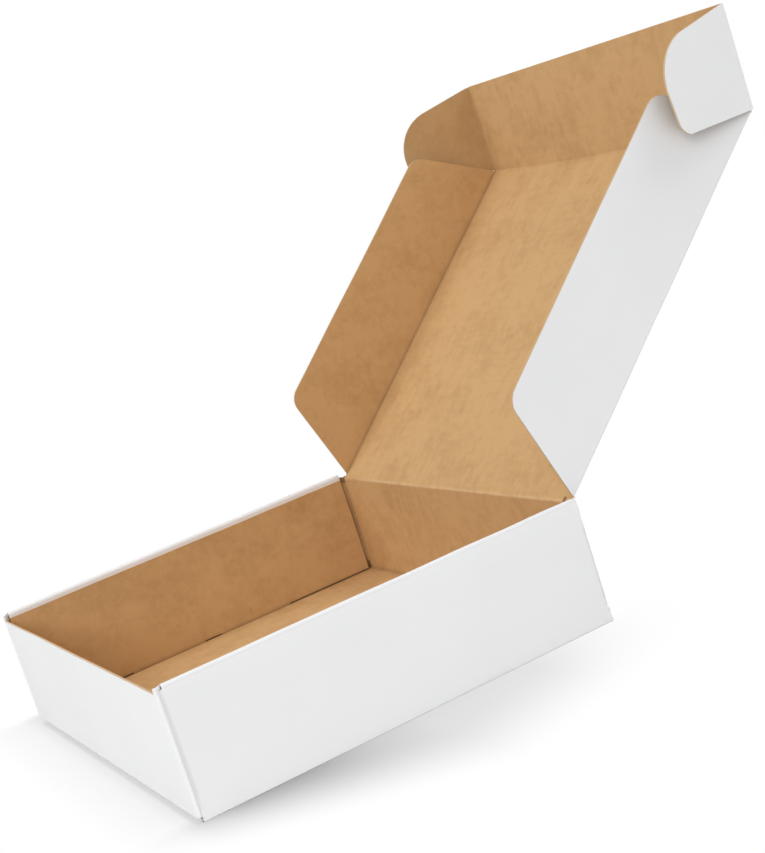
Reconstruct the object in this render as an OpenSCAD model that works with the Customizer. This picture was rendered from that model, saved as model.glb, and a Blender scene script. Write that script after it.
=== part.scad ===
// Roll-end mailer box of fine corrugated board with a tuck-in lid, standing open.
// X runs along the front wall, Y to the hinge at the back, Z up; the origin is under the tray's centre.
// Each node is one folded piece of board. The joints lie on the crease lines between them.

/* [Tray] */
// Width over the two side walls, mm
tray_w = 280; // [200:1:400]
// Depth over the front and back walls, mm
tray_d = 229; // [160:1:320]
// Height of the rolled side walls, mm
tray_h = 63.5; // [55:0.5:120]
// How far the side walls' rims stand above the closed lid, mm
rim_rise = 1; // [0.5:0.1:3]
// Length of the ears that fold back from the front and back walls into the side walls, mm
wall_ear = 52; // [25:1:75]

/* [Board] */
// Thickness of the board, mm
board_t = 1.2; // [0.9:0.1:1.8]
// Inside radius of a fold, mm
fold_r = 0.3; // [0.2:0.05:0.8]
// Gap left at a crease that turns, mm
crease_gap = 0.3; // [0.25:0.05:0.5]

/* [Side walls] */
// Free space on each face of an ear between the two skins of a side wall, mm
ear_slack = 0.25; // [0.2:0.05:0.5]
// Gap between the inner skin's upright ends and the front and back walls, mm
skin_end_gap = 2.3; // [1:0.1:5]
// Gap between the inner skin's lower edge and the bottom, mm
skin_base_gap = 0.8; // [0.5:0.1:2]
// Length of a lock tab on the inner skin's lower edge, mm
tab_l = 48; // [25:1:52]
// Distance between the centres of the two lock tabs of a wall, mm
tab_pitch = 59; // [56:1:80]
// Free space round a lock tab in its slot, mm
slot_slack = 0.25; // [0.2:0.05:0.5]
// Height of a lock tab's end above the underside, mm
tab_rise = 0.2; // [0.1:0.05:0.5]
// Radius of the relief hole at each bottom corner, mm
relief_r = 1.5; // [1:0.1:3]
// How far the back wall stands below the hinge beyond the lid's ends, mm
corner_drop = 2; // [1:0.1:4]

/* [Lid] */
// Angle that the lid stands open, from shut, degrees
lid_open = 138.3; // [0:0.1:180]
// Gap between the shut lid and the front wall's top edge, mm
lid_slack = 0.3; // [0.25:0.05:0.6]
// Gap between the shut lid's front edge and the front wall, mm
front_slack = 0.5; // [0.3:0.05:1]
// Distance from the lid's ends to the feet of the dust flaps, mm
dust_notch = 3; // [2:0.5:6]
// Height of the dust flaps on the lid's sides, mm
dust_h = 56; // [30:1:56]
// Taper of a dust flap's rear edge from its foot to its rounding, mm
dust_rear_taper = 19; // [0:1:40]
// Taper of a dust flap's front edge from its foot to its rounding, mm
dust_front_taper = 20; // [15:1:40]
// Radius of a dust flap's corners, mm
dust_corner_r = 11; // [4:1:20]

/* [Tuck flap] */
// Height of the tuck flap from its crease, mm
tuck_h = 56.5; // [35:0.5:56.5]
// Fold of the tuck flap from the lid's plane while the lid stands open, degrees
tuck_fold = 49.1; // [30:0.1:90]
// Size of the cut-off corners at the tuck flap's free edge, mm
tuck_corner = 2; // [1:0.5:5]
// Gap on each face of an ear between the dust flap and the side wall, mm
side_slack = 0.2; // [0.15:0.05:0.5]
// Length of the ears on the tuck flap, mm
ear_l = 55.8; // [30:0.1:60]
// Fold of the ears from the tuck flap's plane while the lid stands open, degrees
ear_fold = 80; // [70:0.5:90]
// Radius of the ears' large upper rounding, mm
ear_round_r = 26; // [16:0.5:30]
// Radius of the ears' lower corner, mm
ear_corner_r = 8; // [4:0.5:12]
// Taper of an ear's end from its large rounding to its lower corner, mm
ear_taper = 1.5; // [0:0.5:6]
// Slope of an ear's lower edge away from the lid, mm per mm of its length
ear_rise = 0.12; // [0:0.01:0.25]
// Slope of an ear's upper edge towards the lid, mm per mm of its length
ear_fall = 0.19; // [0:0.01:0.3]

/* [Hidden] */
$fn = 64;
// One fold's outer radius, and the double wall's build-up.
fold_ro = fold_r + board_t;
wall_gap = board_t + 2 * ear_slack;
roll_ro = board_t + wall_gap / 2;
skin_t = 2 * board_t + wall_gap;
half_w = tray_w / 2;
half_d = tray_d / 2;
inner_w = half_w - skin_t;
inner_d = half_d - board_t;
roll_z = tray_h - roll_ro;
skin_z = board_t + skin_base_gap;
skin_half = inner_d - skin_end_gap;
// The hinge lies in the middle of the back wall's board.
hinge_y = half_d - board_t / 2;
hinge_z = tray_h - rim_rise - board_t / 2;
front_z = hinge_z - board_t / 2 - lid_slack;
back_corner_z = hinge_z - corner_drop;
// A turning board starts this far from its crease line, so that its corners clear the board it turns on.
crease_in = board_t / 2 + crease_gap;
// The tuck flap's crease lies just inside the front wall when the lid is shut.
lid_l = hinge_y + inner_d - board_t / 2 - front_slack;
// The ears go in between the inner skins and the dust flaps up to 0.6 degrees off straight, either way.
ear_swing = ear_l * sin(0.6);
ear_x = inner_w - board_t / 2 - ear_swing - side_slack;
lid_w = ear_x - board_t / 2 - ear_swing - side_slack;
wall_ear_x = half_w - board_t - ear_slack;
wall_flat = wall_ear_x - fold_ro;

// Convex outline round the circles in c, given anticlockwise as [x, y, radius].
module outline(c) {
    n = len(c);
    polygon([for (i = [0:n - 1]) each tangent_points(c[i], c[(i + 1) % n])]);
    for (k = c) {
        if (k[2] > 0) {
            translate([k[0], k[1]]) circle(r = k[2]);
        }
    }
}

// Ends of the outer tangent from circle a to circle b, a hair inside the circles so that they cross it cleanly.
function tangent_points(a, b) = let (
    ra = max(a[2] - 0.01, 0),
    rb = max(b[2] - 0.01, 0),
    d = [b[0] - a[0], b[1] - a[1]],
    l = norm(d),
    u = d / l,
    s = (ra - rb) / l,
    k = sqrt(1 - s * s),
    n = [k * u[1] + s * u[0], -k * u[0] + s * u[1]]
) [[a[0] + ra * n[0], a[1] + ra * n[1]], [b[0] + rb * n[0], b[1] + rb * n[1]]];

// Quarter of a fold's section, its centre at the origin, in the quadrant of the signs sx and sy.
module fold_quarter(sx, sy) {
    intersection() {
        difference() {
            circle(r = fold_ro);
            circle(r = fold_r);
        }
        translate([sx > 0 ? 0 : -fold_ro, sy > 0 ? 0 : -fold_ro]) square(fold_ro);
    }
}

// Section of the right side wall in X and Z: a strip of the bottom, the fold and the outer skin.
module outer_skin_section() {
    translate([half_w - 2 * fold_ro, 0]) square([fold_ro, board_t]);
    translate([half_w - fold_ro, fold_ro]) fold_quarter(1, -1);
    translate([half_w - board_t, fold_ro]) square([board_t, roll_z - fold_ro]);
}

// Section of a strip of the outer skin, the roll over the top of the right side wall and its inner skin.
module inner_skin_section() {
    translate([half_w - board_t, roll_z - board_t]) square(board_t);
    translate([half_w - roll_ro, roll_z]) {
        intersection() {
            difference() {
                circle(r = roll_ro);
                circle(r = wall_gap / 2);
            }
            translate([-roll_ro, 0]) square([2 * roll_ro, roll_ro]);
        }
    }
    translate([inner_w, skin_z]) square([board_t, roll_z - skin_z]);
}

// Right side wall: two skins rolled from one panel, with the lock tabs that reach into the bottom's slots.
module side_wall() {
    rotate([90, 0, 0]) linear_extrude(height = 2 * (half_d - fold_ro), center = true) outer_skin_section();
    rotate([90, 0, 0]) linear_extrude(height = 2 * skin_half, center = true) inner_skin_section();
    for (s = [-1, 1]) {
        translate([inner_w, s * tab_pitch / 2 - tab_l / 2, tab_rise]) cube([board_t, tab_l, skin_z]);
    }
}

// Front wall, or back wall when is_back: the fold at the bottom, the wall, and its two ears folded back.
module end_wall(is_back) {
    top_z = is_back ? back_corner_z : front_z;
    rotate([90, 0, 90]) linear_extrude(height = 2 * wall_flat, center = true) {
        translate([-half_d + fold_ro, 0]) square([fold_ro, board_t]);
        translate([-half_d + fold_ro, fold_ro]) fold_quarter(-1, -1);
        translate([-half_d, fold_ro]) square([board_t, top_z - fold_ro]);
    }
    for (s = [0, 1]) {
        mirror([s, 0, 0]) translate([0, 0, skin_z]) linear_extrude(height = min(top_z, roll_z) - skin_z) {
            translate([wall_flat - fold_ro, -half_d]) square([fold_ro, board_t]);
            translate([wall_flat, -half_d + fold_ro]) fold_quarter(1, -1);
            translate([wall_ear_x - board_t, -half_d + fold_ro]) square([board_t, wall_ear]);
        }
    }
}

// Strip of the back wall that carries the lid's crease, its edge rounded about the crease line.
module hinge_strip() {
    translate([-lid_w, half_d - board_t, back_corner_z - board_t]) {
        cube([2 * lid_w, board_t, corner_drop + board_t]);
    }
    translate([-lid_w, hinge_y, hinge_z]) rotate([0, 90, 0]) cylinder(h = 2 * lid_w, r = board_t / 2);
}

// Bottom panel with the slots for the lock tabs and a relief hole at each corner.
module bottom() {
    difference() {
        translate([0, 0, board_t / 2]) {
            cube([2 * (half_w - fold_ro), 2 * (half_d - fold_ro), board_t], center = true);
        }
        for (sx = [0, 1], sy = [-1, 1]) {
            mirror([sx, 0, 0]) translate([inner_w - slot_slack, sy * tab_pitch / 2 - tab_l / 2 - slot_slack, -board_t]) {
                cube([board_t + 2 * slot_slack, tab_l + 2 * slot_slack, 3 * board_t]);
            }
        }
    }
}

// Tray: bottom, front and back walls, and double side walls, all one folded sheet.
module tray() {
    color([0.92, 0.92, 0.91]) difference() {
        union() {
            bottom();
            side_wall();
            mirror([1, 0, 0]) side_wall();
            end_wall(false);
            mirror([0, 1, 0]) end_wall(true);
            hinge_strip();
        }
        for (sx = [-1, 1], sy = [-1, 1]) {
            translate([sx * (half_w - fold_ro), sy * (half_d - fold_ro), -board_t]) {
                cylinder(h = board_t + (fold_ro + skin_z) / 2, r = relief_r);
            }
        }
    }
}

// Places what it is given in the lid's frame: origin on the hinge, the shut lid along -Y, its inner face down.
module on_lid() {
    translate([0, hinge_y, hinge_z]) rotate([-lid_open, 0, 0]) children();
}

// Places what it is given in the tuck flap's frame: origin on its crease, the flap along -Y.
module on_tuck() {
    on_lid() translate([0, -lid_l, 0]) rotate([tuck_fold, 0, 0]) children();
}

// Outline of a dust flap: x is the distance from the hinge, y the depth below the lid's outer face.
module dust_outline() {
    front = lid_l - dust_notch;
    r = dust_corner_r;
    outline([
        [dust_notch, fold_ro, 0],
        [front, fold_ro, 0],
        [front - dust_front_taper - r, dust_h - r, r],
        [dust_notch + dust_rear_taper + r, dust_h - r, r]
    ]);
}

// Right dust flap with the fold that joins it to the lid.
module dust_flap() {
    translate([lid_w - board_t, 0, board_t / 2]) rotate([-90, 0, -90]) {
        linear_extrude(height = board_t) dust_outline();
    }
    translate([lid_w - fold_ro, -dust_notch, board_t / 2 - fold_ro]) rotate([90, 0, 0]) {
        linear_extrude(height = lid_l - 2 * dust_notch) {
            fold_quarter(1, 1);
            translate([-fold_ro, fold_r]) square([fold_ro, board_t]);
            translate([fold_r, -board_t]) square(board_t);
        }
    }
}

// Lid: top panel with a dust flap folded in at each side, its front edge rounded about the tuck flap's crease.
module lid() {
    color([0.9, 0.9, 0.89]) on_lid() {
        translate([-lid_w + fold_ro, -lid_l, -board_t / 2]) {
            cube([2 * (lid_w - fold_ro), lid_l - crease_in, board_t]);
        }
        translate([-lid_w + fold_ro, -lid_l, 0]) rotate([0, 90, 0]) {
            cylinder(h = 2 * (lid_w - fold_ro), r = board_t / 2);
        }
        dust_flap();
        mirror([1, 0, 0]) dust_flap();
    }
}

// Tuck flap: panel on the lid's front edge, its side edges rounded about the ears' creases.
module tuck_flap() {
    color([0.9, 0.9, 0.89]) on_tuck() {
        translate([0, 0, -board_t / 2]) linear_extrude(height = board_t) {
            polygon([
                [-ear_x, -crease_in],
                [-ear_x, tuck_corner - tuck_h],
                [tuck_corner - ear_x, -tuck_h],
                [ear_x - tuck_corner, -tuck_h],
                [ear_x, tuck_corner - tuck_h],
                [ear_x, -crease_in]
            ]);
        }
        for (s = [-1, 1]) {
            translate([s * ear_x, -crease_in, 0]) rotate([90, 0, 0]) {
                cylinder(h = tuck_h - 2 * tuck_corner - crease_in, r = board_t / 2);
            }
        }
    }
}

// Outline of an ear: x is the distance from its crease, y the height above the lid's crease line.
module ear_outline() {
    corner_x = ear_l - ear_taper - ear_corner_r;
    corner_y = corner_x * ear_rise + ear_corner_r;
    round_x = ear_l - ear_round_r;
    top_y = tuck_h - board_t / 2;
    fall = (round_x - crease_in) * ear_fall;
    round_y = top_y - fall - ear_round_r * sqrt(1 + ear_fall * ear_fall);
    intersection() {
        outline([
            [crease_in, board_t, 0],
            [corner_x, corner_y, ear_corner_r],
            [ear_l, tuck_h, 0],
            [crease_in, tuck_h, 0]
        ]);
        outline([
            [crease_in, board_t, 0],
            [ear_l, board_t, 0],
            [round_x, round_y, ear_round_r],
            [crease_in, top_y, 0]
        ]);
    }
}

// Right ear of the tuck flap.
module ear() {
    translate([ear_x, 0, 0]) rotate([0, ear_fold, 0]) rotate([180, 0, 0]) {
        linear_extrude(height = board_t, center = true) ear_outline();
    }
}

// Ear on the tuck flap's right side, seen from the front.
module ear_right() {
    color([0.93, 0.93, 0.92]) on_tuck() ear();
}

// Ear on the tuck flap's left side.
module ear_left() {
    color([0.93, 0.93, 0.92]) on_tuck() mirror([1, 0, 0]) ear();
}

tray();
lid();
tuck_flap();
ear_left();
ear_right();
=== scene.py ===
"""Looks of a folded mailer box: white outside, brown kraft inside, standing open on a pale floor."""

import logging
import math
from dataclasses import dataclass
from enum import IntEnum
from typing import Callable

import bmesh
import bpy
from mathutils import Matrix, Vector, noise


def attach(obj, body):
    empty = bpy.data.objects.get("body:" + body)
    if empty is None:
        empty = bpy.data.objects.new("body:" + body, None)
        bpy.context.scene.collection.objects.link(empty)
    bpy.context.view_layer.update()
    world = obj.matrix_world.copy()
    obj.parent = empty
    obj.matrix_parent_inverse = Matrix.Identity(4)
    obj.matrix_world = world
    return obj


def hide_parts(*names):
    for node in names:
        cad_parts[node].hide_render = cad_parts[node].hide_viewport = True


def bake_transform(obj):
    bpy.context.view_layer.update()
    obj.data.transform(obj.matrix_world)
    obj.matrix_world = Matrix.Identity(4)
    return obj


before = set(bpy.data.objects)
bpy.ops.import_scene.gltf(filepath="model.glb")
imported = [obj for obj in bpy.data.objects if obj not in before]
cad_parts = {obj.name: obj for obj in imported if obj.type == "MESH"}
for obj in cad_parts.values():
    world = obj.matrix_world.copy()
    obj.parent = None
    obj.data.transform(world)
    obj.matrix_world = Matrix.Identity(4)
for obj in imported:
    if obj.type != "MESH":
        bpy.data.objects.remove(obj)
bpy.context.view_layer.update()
log = logging.getLogger("mailer_box")
MM = 0.001
TIGHT = 0.01  # places closer than this, in millimetres, are the same
WELD = 1e-4  # points closer than this, in millimetres, become one
HOLD = 0.3  # distance in millimetres from a fold to the cut that keeps it crisp
X, Y, Z = (Vector(row) for row in Matrix.Identity(3))
Triple = tuple[float, float, float]
Line = tuple[tuple[float, float], ...]
Output = bpy.types.NodeSocket
Material = bpy.types.Material
Edges = list[bmesh.types.BMEdge]
Test = Callable[[Vector], bool]


class Side(IntEnum):
    """Material slots of a piece of board."""

    WHITE = 0
    KRAFT = 1
    CUT = 2


# ---- finishes


class Nodes:
    """Adds and links the shader nodes of one tree. A value is a number, a colour or another node's output."""

    def __init__(self, owner: Material | bpy.types.World) -> None:
        """Starts the owner's tree afresh."""
        self.owner = owner
        owner.use_nodes = True
        self.tree = owner.node_tree
        self.tree.nodes.clear()

    def add(self, kind: str, inputs: dict | None = None, **settings) -> bpy.types.bpy_prop_collection:
        """Adds a node, sets its properties and feeds its inputs.

        Args:
            kind: Blender's name of the node type, without ShaderNode.
            inputs: the value of each input, by name or number.
            settings: properties of the node, by name.

        Returns:
            The node's outputs.
        """
        node = self.tree.nodes.new("ShaderNode" + kind)
        for key, value in settings.items():
            setattr(node, key, value)
        for key, value in (inputs or {}).items():
            if isinstance(value, Output):
                self.tree.links.new(value, node.inputs[key])
            else:
                node.inputs[key].default_value = value
        return node.outputs

    @property
    def place(self) -> Output:
        """Object coordinates."""
        return self.add("TexCoord")["Object"]

    def attribute(self, name: str) -> Output:
        """The value of a mesh attribute."""
        return self.add("Attribute", attribute_name=name)["Fac"]

    def noise(self, scale: float, detail: float, rough: float, stretch: Triple = (1, 1, 1),
              turn: Triple = (0, 0, 0)) -> Output:
        """Noise on Object coordinates.

        Args:
            scale: noise cells per metre.
            detail: number of finer octaves.
            rough: weight of the finer octaves.
            stretch: stretch of the pattern along each axis.
            turn: its rotation about each axis in degrees.

        Returns:
            The noise.
        """
        angles = [math.radians(a) for a in turn]
        place = self.add("Mapping", {"Vector": self.place, "Scale": stretch, "Rotation": angles})["Vector"]
        look = {"Vector": place, "Scale": scale, "Detail": detail, "Roughness": rough}
        return self.add("TexNoise", look)["Fac"]

    def ramp(self, value: Output, low: float, high: float, a: float = 0.0, b: float = 1.0,
             how: str = "LINEAR") -> Output:
        """Maps a value from one range to another, clamped.

        Args:
            value: the value to map.
            low: value that maps to a.
            high: value that maps to b.
            a: result at low.
            b: result at high.
            how: Blender's name of the interpolation.

        Returns:
            The mapped value.
        """
        ends = {"Value": value, "From Min": low, "From Max": high, "To Min": a, "To Max": b}
        return self.add("MapRange", ends, interpolation_type=how)["Result"]

    def math(self, operation: str, *values: Output | float) -> Output:
        """Works out one of Blender's Math operations on the given values."""
        return self.add("Math", dict(enumerate(values)), operation=operation)["Value"]

    def over(self, base: Output | Triple, share: Output, colour: Triple) -> Output:
        """Lays a colour over another.

        Args:
            base: the colour below.
            share: how much of the new one shows, from 0 to 1.
            colour: the new one.

        Returns:
            The mixed colour.
        """
        base = base if isinstance(base, Output) else (*base, 1.0)
        return self.add("Mix", {0: share, 6: base, 7: (*colour, 1.0)}, data_type="RGBA")[2]

    def crevice(self, reach: float, amount: float, local: bool = False) -> Output:
        """How deep in a narrow corner a point lies, from 0 in the open to the given amount.

        Args:
            reach: distance in metres over which a neighbouring face counts.
            amount: value where the neighbours close in fully.
            local: counts only faces of the same piece.

        Returns:
            The depth.
        """
        near = self.add("AmbientOcclusion", {"Distance": reach}, samples=6, only_local=local)["AO"]
        return self.ramp(near, 0.9, 0.25, 0.0, amount)

    def end(self, surface: Output) -> Material | bpy.types.World:
        """Feeds the output node and gives the finished owner."""
        kind = "Material" if isinstance(self.owner, Material) else "World"
        self.add(f"Output{kind}", {"Surface": surface})
        return self.owner

    def paper(self, colour: Output, rough: float, gloss: float, height: Output, strength: float,
              distance: float) -> Material:
        """Ends a finish of the board.

        Args:
            colour: its colour.
            rough: its roughness.
            gloss: its specular level.
            height: height of its bump.
            strength: strength of the bump.
            distance: height in metres at a value of one.

        Returns:
            The finished material.
        """
        bump = self.add("Bump", {"Height": height, "Strength": strength, "Distance": distance})["Normal"]
        look = {"Base Color": colour, "Roughness": rough, "Specular IOR Level": gloss, "Normal": bump}
        return self.end(self.add("BsdfPrincipled", look)["BSDF"])


@dataclass(frozen=True)
class WhiteLiner:
    """Matt white coated paper with a very faint cloudiness and tooth, and painted shade in its folds, where
    other parts come close and along marked lines.
    """

    colour: Triple = (0.863, 0.865, 0.870)
    fleck: Triple = (0.60, 0.58, 0.55)
    shadow: Triple = (0.40, 0.40, 0.40)
    cloud: float = 0.025
    joint: float = 0.003
    corner: float = 0.022
    roughness: float = 0.62

    def make(self) -> Material:
        """Builds the material."""
        n = Nodes(bpy.data.materials.new("white_liner"))
        cloudy = tuple(c * (1 - self.cloud) for c in self.colour)
        colour = n.over(cloudy, n.ramp(n.noise(14.0, 3.0, 0.55), 0.3, 0.7), self.colour)
        colour = n.over(colour, n.ramp(n.noise(420.0, 2.0, 0.7), 0.66, 0.8, 0.0, 0.05), self.fleck)
        # painted shade: the white turns towards the shadow grey in tight folds, where other parts close in on
        # sheltered pieces, and by the marked dimming
        wide_painted_shade = n.math("MULTIPLY", n.crevice(self.corner, 1.0), n.attribute("shelter"))
        dark = n.math("MAXIMUM", n.crevice(self.joint, 0.9, True), wide_painted_shade)
        colour = n.over(colour, n.math("ADD", dark, n.attribute("painted_dimming")), self.shadow)
        tooth = n.noise(900.0, 3.0, 0.6)
        return n.paper(colour, self.roughness, 0.35, tooth, 0.25, 0.00006)


@dataclass(frozen=True)
class KraftLiner:
    """Unbleached kraft paper: mottled, with short fibres and dark and light flecks; its joints and marked
    places carry painted shade, and its hinge ridge is painted lighter, partly rubbed paper and partly painted
    highlight.
    """

    light: Triple = (0.606, 0.378, 0.176)
    dark: Triple = (0.496, 0.293, 0.124)
    dark_fleck: Triple = (0.30, 0.16, 0.07)
    light_fleck: Triple = (0.80, 0.58, 0.36)
    ridge: Triple = (0.74, 0.51, 0.29)
    painted_shade: Triple = (0.24, 0.13, 0.06)
    joint: float = 0.003
    roughness: float = 0.82

    def make(self) -> Material:
        """Builds the material."""
        n = Nodes(bpy.data.materials.new("kraft_liner"))
        along = n.noise(260.0, 3.0, 0.6, (1.0, 0.16, 0.16), (0, 0, 12))
        across = n.noise(300.0, 3.0, 0.6, (0.18, 1.0, 1.0), (20, 0, -8))
        fibre = n.math("ADD", along, across)
        clouds, grain = n.noise(30.0, 5.0, 0.66), n.noise(900.0, 3.0, 0.7)
        total = n.math("MULTIPLY", n.noise(150.0, 4.0, 0.65), 0.55)
        for layer, weight in ((clouds, 0.85), (fibre, 0.28), (grain, 0.25)):
            total = n.math("MULTIPLY_ADD", layer, weight, total)
        colour = n.over(self.dark, n.ramp(total, 0.79, 1.19), self.light)
        fleck = n.noise(520.0, 2.0, 0.8, (1.0, 0.35, 0.5), (0, 0, 35))
        colour = n.over(colour, n.ramp(fleck, 0.68, 0.78, 0.0, 0.35), self.dark_fleck)
        fleck = n.noise(610.0, 2.0, 0.8, (0.4, 1.0, 0.4), (0, 40, 0))
        colour = n.over(colour, n.ramp(fleck, 0.68, 0.8, 0.0, 0.30), self.light_fleck)
        # the hinge's ridge painted lighter: partly rubbed, stretched paper and partly painted highlight
        rubbed_and_highlit = n.math("MULTIPLY", n.attribute("ridge"), n.ramp(along, 0.35, 0.6, 0.5, 1.0))
        colour = n.over(colour, rubbed_and_highlit, self.ridge)
        # painted shade: darker kraft in narrow joints (occlusion) and where the shade attribute marks it:
        # fold insides, the rear corner gaps, the hinge's dark spot and the left ear, which faces away from
        # the light
        shade = n.math("MULTIPLY", n.attribute("shade"), 0.55)
        colour = n.over(colour, n.math("MAXIMUM", shade, n.crevice(self.joint, 0.8)), self.painted_shade)
        return n.paper(colour, self.roughness, 0.2, fibre, 0.3, 0.00010)


@dataclass(frozen=True)
class CutEdge:
    """Die-cut edge of the board: two liners with the pressed flute showing faintly between them, its hollows
    painted dark as shade.
    """

    paper: Triple = (0.90, 0.80, 0.67)
    hollow: Triple = (0.50, 0.35, 0.21)
    fuzz: Triple = (0.60, 0.43, 0.27)
    outer: Triple = (0.85, 0.83, 0.80)
    inner: Triple = (0.46, 0.29, 0.14)
    pitch: float = 0.0026

    def make(self) -> Material:
        """Builds the material, whose own map gives the run across the flutes and the depth in the board."""
        n = Nodes(bpy.data.materials.new("cut_edge"))
        edge = n.add("SeparateXYZ", {"Vector": n.add("UVMap", uv_map="edge")["UV"]})
        run, depth = edge["X"], edge["Y"]
        wave = n.math("SINE", n.math("MULTIPLY", run, 2 * math.pi / self.pitch))
        gap = n.math("ABSOLUTE", n.math("SUBTRACT", depth, n.math("MULTIPLY_ADD", wave, 0.27, 0.5)))
        middle = n.math("ABSOLUTE", n.math("SUBTRACT", depth, 0.5))
        # painted shade in the flute's hollows, broken up by the crush noise
        hollow = n.math("MULTIPLY", n.ramp(gap, 0.09, 0.17), n.ramp(middle, 0.30, 0.38, 1.0, 0.0))
        crush = n.ramp(n.noise(160.0, 3.0, 0.6), 0.40, 0.62, 0.1, 0.6)
        colour = n.over(self.paper, n.math("MULTIPLY", hollow, crush), self.hollow)
        colour = n.over(colour, n.ramp(n.noise(2200.0, 2.0, 0.6), 0.3, 0.7, 0.0, 0.22), self.fuzz)
        colour = n.over(colour, n.ramp(depth, 0.45, 0.72, 0.0, 0.9), self.outer)
        colour = n.over(colour, n.ramp(depth, 0.14, 0.02, 0.0, 0.7), self.inner)
        return n.paper(colour, 0.9, 0.15, hollow, 0.6, -0.0002)


@dataclass(frozen=True)
class PaleFloor:
    """White floor whose camera view is a painted soft shadow along the right wall, drawn by a mask over
    occlusion-darkened real light, and white elsewhere.
    """

    albedo: float = 0.86
    reach: float = 0.16
    power: float = 0.35
    deep: float = 0.45
    spread: tuple[float, float] = (-0.55, 0.32)
    fall: tuple[float, float] = (0.168, 0.245)
    under: tuple[float, float] = (0.139, 0.1135)
    left_end: tuple[float, float] = (-0.141, -0.120)
    contact: Line = ((0.112, 0.0), (0.113, 0.46), (0.1145, 0.46), (0.116, 0.44), (0.1172, 0.32), (0.119, 0.0))
    beside: Line = ((-0.150, 0.0), (-0.138, 0.35), (0.128, 0.35), (0.141, 1.0))
    along: Line = (
        (-0.150, 0.0), (-0.1245, 0.35), (-0.1145, 0.85), (-0.095, 1.0), (-0.060, 0.84), (-0.030, 0.58),
        (0.0, 0.40), (0.060, 0.33), (0.092, 0.13), (0.120, 0.03), (0.150, 0.0),
    )

    @staticmethod
    def curve(n: Nodes, place: Output, points: Line) -> Output:
        """Reads a value off a line of points.

        Args:
            n: the material's nodes.
            place: where to read it, in metres.
            points: places in metres, each with its value.

        Returns:
            The value.
        """
        start, end = points[0][0], points[-1][0]
        line = n.add("ValToRGB", {0: n.ramp(place, start, end)})["Color"]
        stops = line.node.color_ramp.elements
        while len(stops) < len(points):
            stops.new(0.5)
        for stop, (at, value) in zip(stops, points):
            stop.position = (at - start) / (end - start)
            stop.color = (value, value, value, 1.0)
        return line

    def strength(self, n: Nodes) -> Output:
        """How much of the painted shadow shows: most near the front of the right wall, none beyond a slanting
        line.

        Args:
            n: the material's nodes.

        Returns:
            The share from 0 to 1.
        """
        place = n.add("SeparateXYZ", {0: n.place})
        x, y = place["X"], place["Y"]
        share = n.math("MULTIPLY", self.curve(n, y, self.along), self.curve(n, x, self.beside))
        edge = n.math("ADD", n.math("MAXIMUM", *(n.math("MULTIPLY", y, slope) for slope in self.spread)), x)
        share = n.math("MULTIPLY", share, n.ramp(edge, *self.fall, 1.0, 0.0, "SMOOTHSTEP"))
        below = [n.math("LESS_THAN", n.math("ABSOLUTE", at), half) for at, half in zip((x, y), self.under)]
        near = self.curve(n, n.math("MULTIPLY", y, -1.0), self.contact)
        ends = n.math("MULTIPLY", n.ramp(x, *self.left_end), below[0])
        share = n.math("MAXIMUM", share, n.math("MULTIPLY", *below))
        return n.math("MAXIMUM", share, n.math("MULTIPLY", near, ends))

    def make(self) -> Material:
        """Builds the material: a plain diffuse floor for light that bounces off it; the camera sees white,
        and the painted shadow where the mask puts it.
        """
        n = Nodes(bpy.data.materials.new("pale_floor"))
        plain = n.add("BsdfDiffuse", {"Color": (self.albedo,) * 3 + (1.0,)})["BSDF"]
        # painted shadow: diffuse colour darkened by occlusion and cut to a share of the albedo, seen only by
        # the camera
        closeness = n.add("AmbientOcclusion", {"Distance": self.reach}, samples=8)["AO"]
        painted_shadow_tone = n.over((0, 0, 0), n.math("POWER", closeness, self.power), (self.albedo * self.deep,) * 3)
        shaded = n.add("BsdfDiffuse", {"Color": painted_shadow_tone})["BSDF"]
        white = n.add("Emission")["Emission"]
        seen = n.add("MixShader", {0: self.strength(n), 1: white, 2: shaded})["Shader"]
        camera_ray = n.add("LightPath")["Is Camera Ray"]
        return n.end(n.add("MixShader", {0: camera_ray, 1: plain, 2: seen})["Shader"])


# ---- sheet


@dataclass(frozen=True)
class Board:
    """The board's own sizes in millimetres."""

    thickness: float = 1.2
    fold_radius: float = 0.3

    @property
    def mid_radius(self) -> float:
        """Radius of a fold at the board's middle surface."""
        return self.fold_radius + self.thickness / 2

    @property
    def outer_radius(self) -> float:
        """Radius of a fold at the board's outer face."""
        return self.fold_radius + self.thickness


def stations(start: float, end: float, marks: tuple[float, ...] = (), pitch: float = 12.0) -> list[float]:
    """Places for cross cuts along a panel, close enough together for it to bow.

    Args:
        start: where the panel starts, in millimetres.
        end: where it ends, in millimetres.
        marks: places that must be among them.
        pitch: greatest distance between two.

    Returns:
        The places in order from start to end.
    """
    low, high = min(start, end), max(start, end)
    fixed = sorted({low, high, *(m for m in marks if low < m < high)})
    places = [low]
    for a, b in zip(fixed, fixed[1:]):
        count = max(1, math.ceil((b - a) / pitch))
        places += [a + (b - a) * i / count for i in range(1, count + 1)]
    return places if start < end else places[::-1]


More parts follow.
